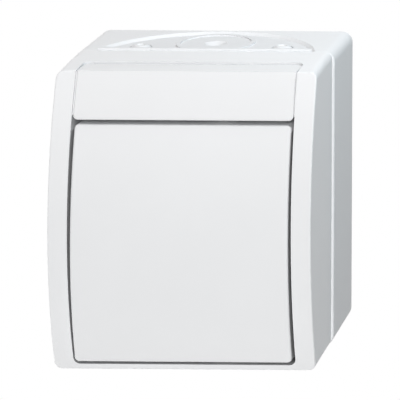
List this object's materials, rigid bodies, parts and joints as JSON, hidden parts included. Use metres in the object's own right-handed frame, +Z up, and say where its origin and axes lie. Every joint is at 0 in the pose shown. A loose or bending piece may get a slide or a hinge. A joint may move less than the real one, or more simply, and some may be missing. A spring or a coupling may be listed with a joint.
{
  "type": "rocker light switch",
  "caption": "White splash-proof wall switch: surface box with half-round cable entries, bowed cover with side cheeks, plain label strip and a large rocker that tips a contact lever.",
  "frame": {"origin": "centre of the rear face, in the plane of the wall", "axes": "+Z up the wall, +X to the right as the switch is seen, +Y into the wall"},
  "size_m": [0.076, 0.059, 0.0866],
  "materials": {
    "box_white": "moulded white plastic, soft satin",
    "entry_white": "soft white elastomer, matt",
    "seal_grey": "dark grey rubber, matt",
    "cover_white": "moulded white plastic, soft gloss",
    "strip_white": "moulded white plastic, soft gloss",
    "rocker_white": "moulded white plastic, soft gloss",
    "screw_steel": "zinc-plated steel",
    "plate_steel": "zinc-plated sheet steel",
    "base_plastic": "pale grey moulded plastic",
    "bridge_plastic": "off-white moulded plastic",
    "plunger_plastic": "natural slippery plastic",
    "contact_brass": "plain brass",
    "contact_silver": "silver contact metal, dull",
    "spring_steel": "drawn spring wire"
  },
  "bodies": {
    "housing": {"wall_box": "box_white", "top_cable_entry": "entry_white", "bottom_cable_entry": "entry_white", "cover_seal": "seal_grey", "cover_frame": "cover_white", "cover_screws": "screw_steel", "label_strip": "strip_white", "device_plate": "plate_steel", "device_screws": "screw_steel", "switch_base": "base_plastic", "switch_bridge": "bridge_plastic", "bridge_screws": "screw_steel", "stem_seal": "seal_grey", "upper_fixed_contact": "contact_brass", "lower_fixed_contact": "contact_brass", "fixed_contact_tips": "contact_silver", "common_contact": "contact_brass", "terminal_blocks": "contact_brass", "terminal_screws": "screw_steel"},
    "rocker": {"rocker": "rocker_white", "rocker_cradle": "bridge_plastic", "contact_spring": "spring_steel"},
    "plunger": {"spring_plunger": "plunger_plastic"},
    "lever": {"contact_lever": "contact_brass", "moving_contact_tips": "contact_silver"}
  },
  "joints": [
    {"name": "rocker_hinge", "type": "hinge", "parent": "housing", "child": "rocker", "pos_m": [0, -0.043, -0.00647], "axis": [1, 0, 0], "range_deg": [0, 4]},
    {"name": "plunger_slide", "type": "slide", "parent": "rocker", "child": "plunger", "axis": [0, -0.9994, 0.0349], "range_m": [0, 0.0008], "stiffness_N_per_m": 600, "deforming": ["contact_spring"]},
    {"name": "lever_hinge", "type": "hinge", "parent": "housing", "child": "lever", "pos_m": [0, -0.0215, -0.00647], "axis": [1, 0, 0], "range_deg": [-14, 0]}
  ],
  "couplings": [
    {"joint": "lever_hinge", "follows": "rocker_hinge", "ratio": -3.5}
  ]
}
